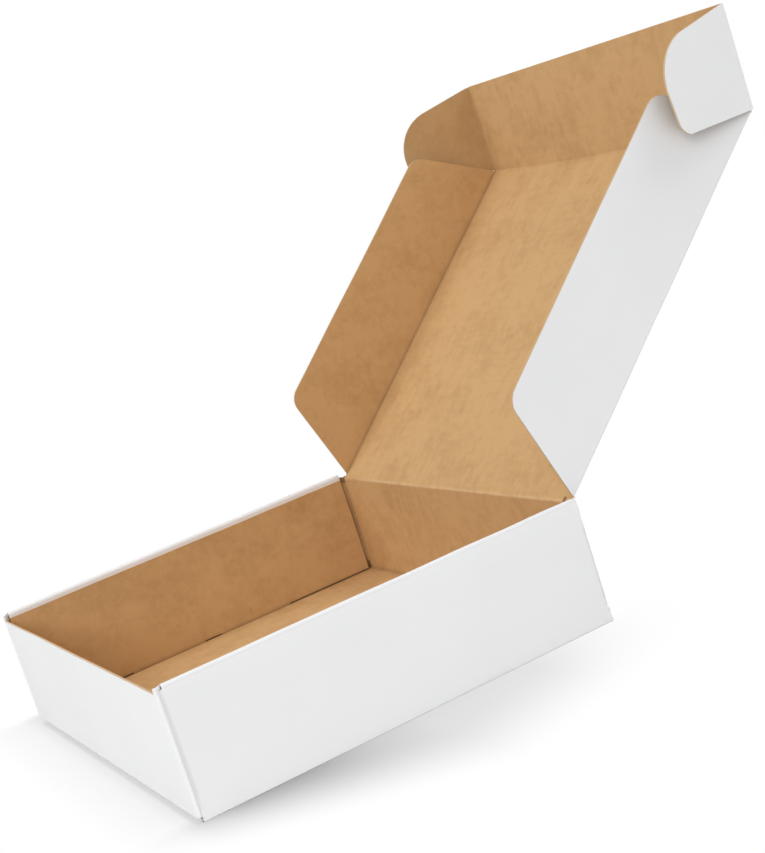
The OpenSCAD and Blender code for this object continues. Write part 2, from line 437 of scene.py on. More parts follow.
class Sheet:
    """A folded sheet, drawn in millimetres as its middle surface and then given its thickness."""

    SHARP = math.radians(38)  # an edge that turns further is shaded as sharp
    LEAST_FACING = 0.85  # limits how far a fold's point is lifted beyond the thickness
    SIDEWAYS = 0.7  # a panel whose normal has more x than this faces sideways

    def __init__(self, board: Board) -> None:
        """Starts an empty sheet of the given board."""
        self.board = board
        self.bm = bmesh.new()

    def wire(self, points: list[Triple]) -> Edges:
        """Starts from a row of points.

        Args:
            points: the row, in millimetres.

        Returns:
            The edges between them.
        """
        verts = [self.bm.verts.new(p) for p in points]
        return [self.bm.edges.new(pair) for pair in zip(verts, verts[1:])]

    def pull(self, edges: Edges, way: Vector, places: list[float]) -> Edges:
        """Pulls a row of edges along a direction, from place to place.

        Args:
            edges: the row to pull.
            way: the direction.
            places: places along it, the first being where the row lies.

        Returns:
            The last row.
        """
        for a, b in zip(places, places[1:]):
            made = bmesh.ops.extrude_edge_only(self.bm, edges=edges)["geom"]
            verts = [g for g in made if isinstance(g, bmesh.types.BMVert)]
            edges = [g for g in made if isinstance(g, bmesh.types.BMEdge) and set(g.verts) <= set(verts)]
            bmesh.ops.translate(self.bm, verts=verts, vec=way * (b - a))
        return edges

    def slide(self, edges: Edges, shift: Vector, count: int) -> Edges:
        """Pulls a row of edges by the whole of a shift in equal steps and gives the last row."""
        return self.pull(edges, shift / count, list(range(count + 1)))

    def turn(self, edges: Edges, centre: Vector, axis: Vector, degrees: float, steps: int = 8) -> Edges:
        """Folds on from a row of edges about an axis.

        Args:
            edges: the row to fold on from.
            centre: a point of the axis, in millimetres.
            axis: its direction.
            degrees: angle of the fold.
            steps: number of facets in the fold.

        Returns:
            The last row.
        """
        geom = [*{v for e in edges for v in e.verts}, *edges]
        angle = math.radians(degrees)
        made = bmesh.ops.spin(self.bm, geom=geom, cent=centre, axis=axis, angle=angle, steps=steps)
        return [g for g in made["geom_last"] if isinstance(g, bmesh.types.BMEdge)]

    def rows(self, test: Test) -> Edges:
        """Border edges whose middle passes a test."""
        middle = lambda e: (e.verts[0].co + e.verts[1].co) / 2
        return [e for e in self.bm.edges if len(e.link_faces) < 2 and test(middle(e))]

    def faces(self, test: Test) -> list[bmesh.types.BMFace]:
        """Faces whose middle passes a test."""
        return [f for f in self.bm.faces if test(f.calc_center_median())]

    def drop(self, test: Test) -> None:
        """Cuts away the faces whose middle passes a test."""
        bmesh.ops.delete(self.bm, geom=self.faces(test), context="FACES")

    def trim(self, test: Test, point: Vector, outward: Vector) -> None:
        """Cuts the faces that pass a test along a plane and drops what lies beyond it.

        Args:
            test: says which faces take part, by their middle.
            point: a point of the plane, in millimetres.
            outward: direction towards what is cut off.
        """
        faces = self.faces(test)
        geom = [*faces, *{e for f in faces for e in f.edges}, *{v for f in faces for v in f.verts}]
        plane = {"plane_co": point, "plane_no": outward}
        bmesh.ops.bisect_plane(self.bm, geom=geom, dist=WELD, clear_outer=True, **plane)

    def round_off(self, test: Test, centre: Vector, radius: float, start: Vector, end: Vector,
                  steps: int = 9) -> None:
        """Rounds a convex corner with a row of straight cuts.

        Args:
            test: says which faces take part.
            centre: centre of the rounding, in millimetres.
            radius: its radius.
            start: outward direction at one end of the rounding.
            end: outward direction at its other end.
            steps: number of cuts.
        """
        turn = start.normalized().rotation_difference(end.normalized())
        for i in range(steps + 1):
            outward = start.normalized()
            outward.rotate(turn.__class__(turn.axis, turn.angle * i / steps))
            self.trim(test, centre + outward * radius, outward)

    def mirror(self) -> None:
        """Adds the mirror image on the other side of x = 0."""
        geom = self.bm.verts[:] + self.bm.edges[:] + self.bm.faces[:]
        bmesh.ops.mirror(self.bm, geom=geom, axis="X", merge_dist=WELD)
        bmesh.ops.remove_doubles(self.bm, verts=self.bm.verts, dist=WELD)

    def place(self, matrix: Matrix) -> None:
        """Turns and moves the sheet from its own frame to the box's, in millimetres."""
        bmesh.ops.transform(self.bm, matrix=matrix, verts=self.bm.verts)

    def shape(self, move: Callable[[Vector], Vector]) -> None:
        """Moves every point by what a function says, for sags and unevenness."""
        for v in self.bm.verts:
            v.co += move(v.co)

    def mark(self, name: str, amount: Callable[[Vector], float]) -> None:
        """Writes a value on every point, for a material: how rubbed and painted light, how much painted shade
        or painted dimming, or how sheltered it is.
        """
        layer = self.bm.verts.layers.float.new(name)
        for v in self.bm.verts:
            v[layer] = amount(v.co)

    def face_out(self, test: Test, outward: Vector) -> None:
        """Turns the white side the right way.

        Args:
            test: finds faces whose outward direction is known.
            outward: that direction.
        """
        bmesh.ops.recalc_face_normals(self.bm, faces=self.bm.faces)
        self.bm.normal_update()
        if sum(f.normal.dot(outward) * f.calc_area() for f in self.faces(test)) < 0:
            bmesh.ops.reverse_faces(self.bm, faces=self.bm.faces)

    def thicken(self, run: Vector) -> None:
        """Gives the middle surface its thickness, with white, kraft and cut faces and the edge map.

        Args:
            run: direction of the flutes on panels that face sideways.
        """
        bm = self.bm
        bmesh.ops.delete(bm, geom=[e for e in bm.edges if not e.link_faces], context="EDGES")
        bmesh.ops.delete(bm, geom=[v for v in bm.verts if not v.link_faces], context="VERTS")
        bm.normal_update()
        lift = bm.verts.layers.float_vector.new("lift")
        for v in bm.verts:
            facing = [f.normal.dot(v.normal) for f in v.link_faces]
            v[lift] = v.normal * (self.board.thickness / 2 / max(self.LEAST_FACING, min(facing)))
        outer_faces, outer_verts = set(bm.faces), set(bm.verts)
        made = bmesh.ops.extrude_face_region(bm, geom=bm.faces[:], use_keep_orig=True)["geom"]
        inner_faces = {g for g in made if isinstance(g, bmesh.types.BMFace)}
        for v in bm.verts:
            v.co += v[lift] * (1 if v in outer_verts else -1)
        bm.verts.layers.float_vector.remove(bm.verts.layers.float_vector["lift"])
        edge_map = bm.loops.layers.uv.new("edge")
        bmesh.ops.recalc_face_normals(bm, faces=bm.faces)
        bm.normal_update()
        for f in bm.faces:
            f.smooth = True
            if f in outer_faces:
                f.material_index = Side.WHITE
            elif f in inner_faces:
                f.material_index = Side.KRAFT
            else:
                f.material_index = Side.CUT
                skin = next((n for e in f.edges for n in e.link_faces if n in outer_faces), f)
                flute = run if abs(skin.normal.x) > self.SIDEWAYS else skin.normal.cross(X)
                across = flute.cross(skin.normal).normalized()
                for loop in f.loops:
                    depth = 1.0 if loop.vert in outer_verts else 0.0
                    loop[edge_map].uv = (loop.vert.co.dot(across) * MM, depth)
        for e in bm.edges:
            e.smooth = len(e.link_faces) == 2 and e.calc_face_angle(0.0) < self.SHARP

    def paint(self, test: Test, side: Side, cut: bool = False) -> None:
        """Gives finished faces another side's finish.

        Args:
            test: finds the faces.
            side: the finish.
            cut: takes cut faces, where the liner was pressed over the edge, and not the broad ones.
        """
        for f in self.faces(test):
            if (f.material_index == Side.CUT) == cut:
                f.material_index = side

    def finish(self, name: str, finishes: list[Material], slot: str) -> bpy.types.Object:
        """Makes the object in metres.

        Args:
            name: the piece's name.
            finishes: the three materials in the order of Side.
            slot: not used.

        Returns:
            The new object, in the scene.
        """
        bmesh.ops.scale(self.bm, vec=(MM, MM, MM), verts=self.bm.verts)
        made = add_mesh(name, self.bm, finishes)
        log.info("%s: %d faces", name, len(made.data.polygons))
        return made


def add_object(name: str, data: bpy.types.ID) -> bpy.types.Object:
    """Adds an object with the given data to the scene."""
    made = bpy.data.objects.new(name, data)
    bpy.context.scene.collection.objects.link(made)
    return made


def add_mesh(name: str, bm: bmesh.types.BMesh, finishes: list[Material]) -> bpy.types.Object:
    """Adds an object made of a bmesh, which is used up."""
    mesh = bpy.data.meshes.new(name)
    bm.to_mesh(mesh)
    bm.free()
    for material in finishes:
        mesh.materials.append(material)
    return add_object(name, mesh)


def fade(place: float, start: float, end: float, reach: float = 14.0) -> float:
    """Falls from 1 inside a span to 0 at its ends, so that neighbouring pieces meet."""
    return max(0.0, min(1.0, (place - start) / reach, (end - place) / reach))


def ripple(co: Vector, size: float, pitch: float, seed: float = 0.0) -> float:
    """Gentle unevenness of the board at a point.

    Args:
        co: the point in millimetres.
        size: its greatest height in millimetres.
        pitch: distance between humps in millimetres.
        seed: shifts the pattern.

    Returns:
        The height in millimetres.
    """
    return size * noise.noise(co / pitch + Vector((seed, seed * 1.7, -seed)))


def same(a: float, b: float) -> bool:
    """Whether two places in millimetres are the same."""
    return abs(a - b) < TIGHT


# ---- tray


@dataclass
class Piece:
    """What every piece is made of: its board, and its finishes in the order of Side."""

    board: Board
    finishes: list[Material]


@dataclass
class Tray(Piece):
    """Bottom, front and back walls and double side walls, one folded sheet."""

    half_w: float = 140.0
    half_d: float = 114.5
    height: float = 63.5
    roll_radius: float = 2.05
    front_top: float = 61.0
    back_top: float = 59.9
    skin_low: float = 2.0
    skin_half: float = 111.0
    inner_x: float = 136.5
    tab_end: float = 0.2
    tab_middle: float = 29.5
    tab_half: float = 24.0
    slot_slack: float = 0.25
    slot_half: float = 0.85
    wall_flat: float = 137.05
    relief_x: float = 138.3
    relief_y: float = 112.3
    ear_length: float = 52.0
    bend_radius: float = 2.4
    hole_top: float = 6.5
    shoulder: float = 133.6
    shoulder_top: float = 63.3
    white_lip: float = 1.0
    side_x: float = 134.0
    outer_x: float = 139.3
    roll_low: float = 55.0
    lean: float = 0.9
    swell: float = 1.5
    fold_square: float = 0.6

    @property
    def bend_x(self) -> float:
        """Where the front and back walls start to bend round into their ears."""
        return self.wall_flat + self.board.mid_radius - self.bend_radius

    @property
    def roll_z(self) -> float:
        """Height where the side walls start to roll inwards."""
        return self.height - self.roll_radius

    def on_bottom(self, c: Vector) -> bool:
        """Whether a point of the middle surface lies on the bottom."""
        return c.z < self.board.thickness / 2 + TIGHT

    def side(self, sheet: Sheet) -> None:
        """Draws the right half of the bottom, the side wall, its rolled top, inner skin and lock tabs."""
        out, roll_z, low = self.board.outer_radius, self.roll_z, self.skin_low
        end, corner = self.half_d - out, self.half_w - out
        slots = (self.tab_middle - self.tab_half, self.tab_middle + self.tab_half)
        slot_ends = (slots[0] - self.slot_slack, slots[1] + self.slot_slack)
        slot_x = (self.inner_x - self.slot_half, self.inner_x + self.slot_half)
        marks = (*slots, *slot_ends, self.skin_half, end - HOLD, self.relief_y)
        along = stations(-end, end, (*marks, *(-m for m in marks)), 9.0)
        marks = (self.shoulder, self.bend_x, *slot_x, self.wall_flat, corner - HOLD)
        row = sheet.wire([(x, -end, self.board.thickness / 2) for x in stations(0, corner, marks, 14.0)])
        sheet.pull(row, Y, along)
        row = sheet.rows(lambda c: c.x > corner - TIGHT)
        row = sheet.turn(row, Vector((corner, 0, out)), Y, -90)
        row = sheet.pull(row, Z, stations(out, roll_z, (out + HOLD, roll_z - 2.2, roll_z - HOLD)))
        row = sheet.turn(row, Vector((self.half_w - self.roll_radius, 0, roll_z)), Y, -180, 16)
        row = sheet.pull(row, Z, stations(roll_z, low, (roll_z - self.white_lip, low + HOLD)))
        sheet.pull(row, Z, [low, self.tab_end])
        rolled = self.half_w - self.roll_radius + 1.44
        in_skin = lambda c: 130 < c.x < rolled and out < c.z < roll_z
        sheet.drop(lambda c: abs(c.y) > self.skin_half and in_skin(c))
        sheet.drop(lambda c: c.y < -self.skin_half and c.z > roll_z)
        in_tab = lambda c: slots[0] < abs(c.y) < slots[1]
        sheet.drop(lambda c: c.z < low and same(c.x, self.inner_x) and not in_tab(c))
        in_slot = lambda c: slot_ends[0] < abs(c.y) < slot_ends[1] and slot_x[0] < c.x < slot_x[1]
        sheet.drop(lambda c: self.on_bottom(c) and in_slot(c))
        in_relief = lambda c: self.wall_flat < c.x < self.relief_x and c.y < -self.relief_y
        sheet.drop(lambda c: self.on_bottom(c) and in_relief(c))

    def end(self, sheet: Sheet, s: int, top: float) -> None:
        """Draws the right half of the front or back wall, with its ear.

        Args:
            sheet: the sheet that holds the bottom.
            s: -1 for the front wall, 1 for the back wall.
            top: height of its top edge.
        """
        out = self.board.outer_radius
        end = self.half_d - out
        reach = self.wall_flat if s < 0 else self.half_w - out
        low = self.skin_low if s < 0 else self.hole_top
        row = sheet.rows(lambda c: same(c.y, s * end) and self.on_bottom(c) and c.x < reach)
        row = sheet.turn(row, Vector((0, s * end, out)), X, s * 90)
        sheet.pull(row, Z, stations(out, top, (low, out + HOLD, 59.0), 10.0))
        mid = self.half_d - self.board.thickness / 2
        sheet.drop(lambda c: same(c.y, s * mid) and c.x > self.bend_x and c.z > low)
        row = sheet.rows(lambda c: same(c.y, s * mid) and same(c.x, self.bend_x) and c.z > low)
        bend = s * (mid - self.bend_radius)
        row = sheet.turn(row, Vector((self.bend_x, bend, 0)), Z, -s * 90, 10)
        sheet.pull(row, Y, stations(bend, s * (end - self.ear_length), (bend - s * HOLD,), 13.0))

    def shoulders(self, sheet: Sheet) -> None:
        """Raises the corners that stand in the walls' open ends, and cuts the left wall's rear roll end."""
        sheet.drop(lambda c: c.x < -self.side_x and c.y > self.skin_half and c.z > self.roll_z)
        bend = self.half_d - self.board.thickness / 2 - self.bend_radius
        front = lambda c: same(c.z, self.front_top) and abs(c.x) > self.bend_x and c.y < 0.1 - bend
        sheet.pull(sheet.rows(front), Z, [self.front_top, self.shoulder_top])
        rear = lambda c: same(c.z, self.back_top) and c.x < -self.shoulder and c.y > bend - 0.1
        sheet.pull(sheet.rows(rear), Z, [self.back_top, self.shoulder_top])

    def dark(self, co: Vector) -> float:
        """How shaded a point's kraft is: only in the rear corner's gap, above or below the ear."""
        above = co.z > 59.8 and self.shoulder - 0.1 < abs(co.x) < 138.2
        below = co.z < 8 and abs(co.x) > 137
        return 1.6 if co.y > 111.3 and (above or below) else 0.0

    def painted_dimming(self, co: Vector) -> float:
        """How much painted shade a point's white gets: a painted shadow line beside the front corner's joint,
        and a slight dimming of the rolled tops where the light falls brightest.
        """
        if co.z > self.roll_z + 0.1:
            return 0.1
        if abs(co.x) > self.outer_x and co.y < -112.2 and co.z > 2:
            return 0.3 if co.y < -112.6 else 0.22
        return 0.0

    def roll(self, co: Vector) -> Vector:
        """How far a point of a side wall's rolled top has sprung up and leans in."""
        rise = min(1.0, (co.z - self.roll_low) / 6.45) ** 2
        outer = (abs(co.x) - self.inner_x) / (2 * self.roll_radius - self.board.thickness)
        in_end = co.y > self.skin_half + 0.1 and co.x < 0
        lifted = co.z > 61.4 or abs(co.x) > self.outer_x or abs(co.x) < self.inner_x + 0.1
        lean = self.lean * rise * (0.2 + 0.8 * max(0.0, min(1.0, outer)))
        return Vector((-math.copysign(lean, co.x), 0, self.swell * rise if lifted and not in_end else 0.0))

    def rear_end(self, co: Vector) -> float:
        """How far along y a point of a side wall's rear end lies from where it was drawn."""
        if co.y > 112.9 and co.x < -138.9 and co.z < 12:
            return 0.6
        if co.y > self.skin_half and co.x > self.outer_x and 2 < co.z < 59:
            return -0.75 * (co.y - self.skin_half)
        if co.x > self.bend_x and co.y > 113.05 and co.z < 7:
            return -0.35 * (co.x - self.bend_x) * min(1.0, (co.z - 0.6) / 0.9)
        return 0.0

    def loosen(self, co: Vector) -> Vector:
        """Small unevenness of the real tray at a point, kept inward so that the outline stays."""
        move = Vector((0, 0, 0))
        x, y, low, mid = abs(co.x), abs(co.y), self.board.outer_radius, self.board.thickness / 2
        if co.z > 58.5 and x > self.side_x:
            move.z = -abs(ripple(co, 0.35, 38.0, 3.0))
            move.x = -math.copysign(abs(ripple(co, 0.2, 30.0, 8.0)), co.x)
        if co.z > self.roll_low and x > self.side_x:
            move += self.roll(co)
        if y > self.half_d - self.board.thickness:
            move.y = -math.copysign(0.01, co.y)
        move.y += self.rear_end(co)
        if co.z < low:
            move.z = 0.003
        if co.z < low and x > self.half_w - low and y <= self.half_d - low + TIGHT:
            move.x = math.copysign(self.half_w - mid - x, co.x) * self.fold_square
            move.z += (mid - co.z) * self.fold_square
        if co.z > 59.4 and y > self.skin_half + 0.1 and x > self.side_x:
            move.z -= 0.3 * (y - self.skin_half)
        if co.z > 2.5 and x < self.side_x and y > 113:
            bowed = math.sin(math.pi * min(1.0, co.z / self.back_top))
            rise = (co.z / self.height) ** 2 if co.y < 0 else bowed
            move.y -= math.copysign(abs(ripple(co, 0.5, 60.0, 5.0)) * rise, co.y)
        if self.skin_low < co.z < 56 and abs(x - self.inner_x) < 0.1:
            move.x = -math.copysign(0.6 + ripple(co, 0.5, 45.0, 2.0), co.x) * math.sin(math.pi * co.z / 60)
        return move

    def build(self) -> None:
        """Builds the tray and lets it stand for its node."""
        sheet = Sheet(self.board)
        self.side(sheet)
        self.end(sheet, -1, self.front_top)
        self.end(sheet, 1, self.back_top)
        sheet.mirror()
        self.shoulders(sheet)
        sheet.mark("shade", self.dark)
        # painted shade on the white: a shadow line by the front corners' joints and a dimming of the rolled
        # tops
        sheet.mark("painted_dimming", self.painted_dimming)
        sheet.shape(self.loosen)
        sheet.face_out(lambda c: self.on_bottom(c) and abs(c.x) < 130, -Z)
        sheet.thicken(Y)
        skin = (self.inner_x - 3, self.inner_x + self.board.thickness)
        top = self.roll_z - self.white_lip
        front = lambda c: abs(c.x) > 135 and c.y < -110.9
        rear = lambda c: abs(c.x) > 138.2 and c.y > 110.9 and c.z < 61
        sheet.paint(lambda c: front(c) or rear(c), Side.WHITE, cut=True)
        in_skin = lambda c: skin[0] < abs(c.x) < skin[1] and 0.3 < c.z < top and abs(c.y) < self.skin_half
        sheet.paint(in_skin, Side.KRAFT)
        sheet.paint(lambda c: c.y < -105 and c.z > top and 135 < abs(c.x) < 139, Side.WHITE)
        tray = sheet.finish("tray_board", self.finishes, "tray_board")
        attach(tray, "tray")
        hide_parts("tray")


# ---- lid


@dataclass(frozen=True)
class Frames:
    """Where the lid and the tuck flap stand at rest, in millimetres and degrees."""

    hinge: Triple = (0.0, 113.9, 61.9)
    lid_open: float = 138.3
    lid_length: float = 226.1
    tuck_fold: float = 49.1
    ear_fold: float = 80.0
    ear_x: float = 134.5157

    def lid(self) -> Matrix:
        """From (x, way along the lid, depth to its inner side) to the box's frame."""
        return self._matrix(Vector(self.hinge), 180.0 - self.lid_open)

    def tuck(self) -> Matrix:
        """From (x, way up the tuck flap, depth to its inner side) to the box's frame."""
        crease = self.lid() @ Vector((0, self.lid_length, 0))
        return self._matrix(crease, 180.0 - self.lid_open + self.tuck_fold)

    @staticmethod
    def _matrix(origin: Vector, rise: float) -> Matrix:
        """A frame whose second axis rises by an angle from +Y."""
        return Matrix.Translation(origin) @ Matrix.Rotation(math.radians(rise), 4, "X")

    def ear_direction(self) -> Vector:
        """Direction in which the right ear leaves its crease, in the tuck flap's frame."""
        a = math.radians(self.ear_fold)
        return Vector((math.cos(a), 0, math.sin(a)))


@dataclass
class Sag:
    """How far the open lid's middle hangs down under its own weight."""

    frames: Frames
    depth: float = 5.1
    half: float = 131.6
    tuck_height: float = 56.5

    def share(self, x: float) -> float:
        """How much of the sag is found at a place across the lid."""
        u = max(-1.0, min(1.0, (x - 6.0 * (1 - (x / self.half) ** 2)) / self.half))
        return 1 - u * u

    def on_lid(self, co: Vector) -> Vector:
        """The sag at a point of the lid, given in the lid's frame; the answer is in the box's frame."""
        t = max(0.0, min(1.0, co.y / self.frames.lid_length))
        return -Z * self.depth * self.share(co.x) * t ** 1.4

    def on_tuck(self, co: Vector) -> Vector:
        """The sag at a point of the tuck flap, given in its frame; the answer is in the box's frame."""
        t = max(0.0, min(1.0, 1 - co.y / self.tuck_height))
        return -Z * self.depth * self.share(co.x) * t

    def on_crease(self, co: Vector) -> Vector:
        """The sag at a point near the tuck flap's crease, point and answer both in the box's frame."""
        on_lid = self.frames.lid().inverted() @ co
        on_tuck = self.frames.tuck().inverted() @ co
        t = max(0.0, min(1.0, on_lid.y / self.frames.lid_length)) ** 1.4
        return self.on_tuck(on_tuck) * t


@dataclass
class LidPiece(Piece):
    """What the pieces of the lid share: where they stand, how they sag, and their common sizes."""

    frames: Frames
    sag: Sag
    half: float = 133.132
    strip: float = 2.5
    front_strip: float = 1.2


@dataclass
class Lid(LidPiece):
    """Top panel with its two dust flaps."""

    notch: float = 3.0
    dust_height: float = 56.0
    dust_radius: float = 11.0
    rear_taper: float = 19.0
    front_taper: float = 20.0
    lean: float = 2.0
    lean_end: float = 150.0

    @property
    def flat(self) -> float:
        """Where the lid's panel starts to bend into its dust flap."""
        return self.half - self.board.outer_radius

    @property
    def front(self) -> float:
        """Where the lid ends and its front crease starts."""
        return self.frames.lid_length - self.front_strip

    def dust_flap(self, sheet: Sheet) -> None:
        """Folds the right dust flap in and cuts its outline."""
        radius, x = self.board.mid_radius, self.half - self.board.thickness / 2
        row = sheet.rows(lambda c: same(c.x, self.flat) and self.notch < c.y < self.front)
        row = sheet.turn(row, Vector((self.flat, 0, radius)), Y, -90)
        top = self.dust_height - self.board.thickness / 2
        sheet.pull(row, Z, stations(radius, top, (radius + HOLD,), 9.0))
        test = lambda c: c.x > x - 0.1 and c.z > radius
        r = self.dust_radius
        for s, foot, taper in ((-1, self.notch, self.rear_taper), (1, self.front, self.front_taper)):
            corner = Vector((x, foot - s * (taper + r), top - r))
            way = corner - Vector((x, foot, radius))
            lean = math.atan2(way.z, -s * way.y) + math.asin(r / way.length)
            sheet.round_off(test, corner, r, Vector((0, s * math.sin(lean), math.cos(lean))), Z)

    def relax(self, co: Vector) -> Vector:
        """Sag of the panel at a point, and a slight outward lean of the dust flaps' rear ends."""
        back = self.frames.lid().to_3x3().inverted()
        on_flap = abs(co.x) > self.half - 1.0 and co.z > 2
        move = back @ self.sag.on_lid(Vector((self.flat, co.y, 0)) if on_flap else co)
        if on_flap:
            lean = max(0.0, 1 - co.y / self.lean_end) * (co.z / self.dust_height)
            move.x += math.copysign(self.lean * lean, co.x)
        move.z += ripple(co, 0.35, 55.0, 1.0) * fade(co.y, self.strip, self.front)
        return move

    def build(self) -> None:
        """Builds the lid and lets it stand for its node."""
        sheet = Sheet(self.board)
        row = sheet.wire([(x, self.strip, 0) for x in stations(0, self.flat, (self.flat - HOLD,), 11.0)])
        sheet.pull(row, Y, stations(self.strip, self.front, (self.notch,), 11.0))
        self.dust_flap(sheet)
        corner = sheet.rows(lambda c: same(c.x, self.flat) and self.strip < c.y < self.notch)
        sheet.pull(corner, X, [self.flat, self.half])
        # Painted shade: darker kraft inside the dust flaps' folds, and wide painted shade on the white where
        # other parts come close, as under the ears.
        in_fold = lambda co: co.x > self.flat + 0.15 and TIGHT < co.z < self.board.mid_radius - 0.15
        sheet.mark("shade", lambda co: 1.0 if in_fold(co) else 0.0)
        sheet.mark("shelter", lambda co: 0.8)
        sheet.mirror()
        sheet.shape(self.relax)
        sheet.face_out(lambda c: abs(c.x) < 120, -Z)
        sheet.place(self.frames.lid())
        sheet.thicken(self.frames.lid().to_3x3() @ Y)
        lid = sheet.finish("lid_board", self.finishes, "lid_board")
        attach(lid, "lid")
        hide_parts("lid")


@dataclass
class TuckFlap(LidPiece):
    """Panel on the lid's front edge and its two rounded ears."""

    height: float = 56.48
    edge: float = 2.2
    ear_length: float = 55.8
    ear_round: float = 26.0
    ear_corner: float = 8.0
    ear_taper: float = 1.5
    ear_fall: float = 0.19
    ear_foot: float = 0.5
    ear_bend: float = 1.2
    ear_drop: float = 0.3
    ear_curl: float = 0.25
    left_shade: float = 0.45
    blend_reach: float = 1.4

    def panel(self) -> None:
        """Builds the tuck flap between its creases."""
        sheet = Sheet(self.board)
        end = self.frames.ear_x - self.edge
        row = sheet.wire([(x, self.strip, 0) for x in stations(0, end, (), 11.0)])
        sheet.pull(row, Y, stations(self.strip, self.height, (self.height - 2.0,), 9.0))
        sheet.mirror()
        matrix = self.frames.tuck()
        back = matrix.to_3x3().inverted()
        calm = lambda co: fade(co.y, self.strip, 99.0) * fade(co.x, -end, end)
        sheet.shape(lambda co: back @ self.sag.on_tuck(co) + Z * ripple(co, 0.3, 50.0, 4.0) * calm(co))
        sheet.face_out(lambda c: True, -Z)
        sheet.place(matrix)
        sheet.thicken(matrix.to_3x3() @ Y)
        flap = sheet.finish("tuck_board", self.finishes, "lid_board")
        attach(flap, "tuck_flap")
        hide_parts("tuck_flap")

    def ear_sheet(self, fold: bool) -> Sheet:
        """Draws the right ear's crease, or the ear beyond it, in the tuck flap's frame.

        Args:
            fold: True for the crease, False for the ear.

        Returns:
            The sheet, not yet placed.
        """
        sheet = Sheet(self.board)
        x, edge, away = self.frames.ear_x, self.edge, self.frames.ear_direction()
        reach = self.ear_bend * math.tan(math.radians(self.frames.ear_fold / 2))
        heights = stations(self.ear_foot, self.height, (self.strip, self.height - 2.0), 6.0)
        row = sheet.wire([(x - edge, h, 0) for h in heights])
        row = sheet.slide(row, X * (edge - reach), 2)
        row = sheet.turn(row, Vector((x - reach, 0, self.ear_bend)), Y, -self.frames.ear_fold)
        row = sheet.slide(row, away * (edge - reach), 2)
        if fold:
            top = Vector((x, self.height - self.ear_drop, 0))
            sheet.trim(lambda c: True, top, Vector((self.ear_drop, edge, 0)))
            return sheet
        last = {v for e in row for v in e.verts}
        old = [v for v in sheet.bm.verts if v not in last]
        sheet.slide(row, away * (self.ear_length - edge), 7)
        bmesh.ops.delete(sheet.bm, geom=old, context="VERTS")
        self.cut_ear(sheet)
        return sheet

    def cut_ear(self, sheet: Sheet) -> None:
        """Cuts the right ear's outline: straight lower edge, small corner, large rounding and sloping top."""
        away = self.frames.ear_direction()
        place = lambda at: Vector((self.frames.ear_x, at.y, 0)) + away * at.x
        aim = lambda a: away * math.cos(a) + Y * math.sin(a)
        r, big_r = self.ear_corner, self.ear_round
        low = Vector((self.ear_length - self.ear_taper - r, r + self.ear_foot * 0.5))
        slope = math.atan(self.ear_fall)
        big = Vector((self.ear_length - big_r, self.height - self.ear_drop - big_r / math.cos(slope)))
        big.y -= (big.x - self.edge) * self.ear_fall
        way = low - Vector((0.9, self.ear_foot))
        under = math.atan2(way.y, way.x) - math.asin(r / way.length) - math.pi / 2
        gap = big - low
        side = math.atan2(gap.y, gap.x) - math.acos(max(-1.0, min(1.0, (r - big_r) / gap.length)))
        sheet.round_off(lambda c: True, place(low), r, aim(under), aim(side))
        sheet.round_off(lambda c: True, place(big), big_r, aim(side), aim(math.pi / 2 - slope), 18)

    def ear(self, s: int, fold: bool) -> None:
        """Builds an ear or its crease.

        Args:
            s: 1 for the right one, -1 for the left.
            fold: True for the crease, False for the ear.
        """
        sheet = self.ear_sheet(fold)
        x, away, matrix = self.frames.ear_x, self.frames.ear_direction(), self.frames.tuck()
        side = "right" if s > 0 else "left"
        if not fold:
            way = lambda co: max(0.0, ((co - Vector((x, co.y, 0))).length - self.edge) / self.ear_length)
            curl = Vector((-away.z, 0, away.x)) * self.ear_curl
            sheet.shape(lambda co: curl * (way(co) ** 2 + ripple(co, 0.3, 30.0, 6.0) * way(co)))
        if s < 0:
            sheet.place(Matrix.Diagonal((-1, 1, 1, 1)))
            sheet.mark("shade", lambda co: self.left_shade)
        outward = -Z if fold else Vector((s * away.z, 0, -away.x))
        sheet.face_out(lambda c: not fold or abs(c.x) < x - 1.3, outward)
        sheet.place(matrix)
        sheet.thicken(matrix.to_3x3() @ Y)
        made = sheet.finish(f"ear_{side}_crease" if fold else f"ear_{side}_board", self.finishes, "lid_board")
        if fold:
            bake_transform(made)
        else:
            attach(made, f"ear_{side}")
            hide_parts(f"ear_{side}")

    def build(self) -> None:
        """Builds the flap, its ears and their creases."""
        self.panel()
        for s in (1, -1):
            self.ear(s, True)
            self.ear(s, False)


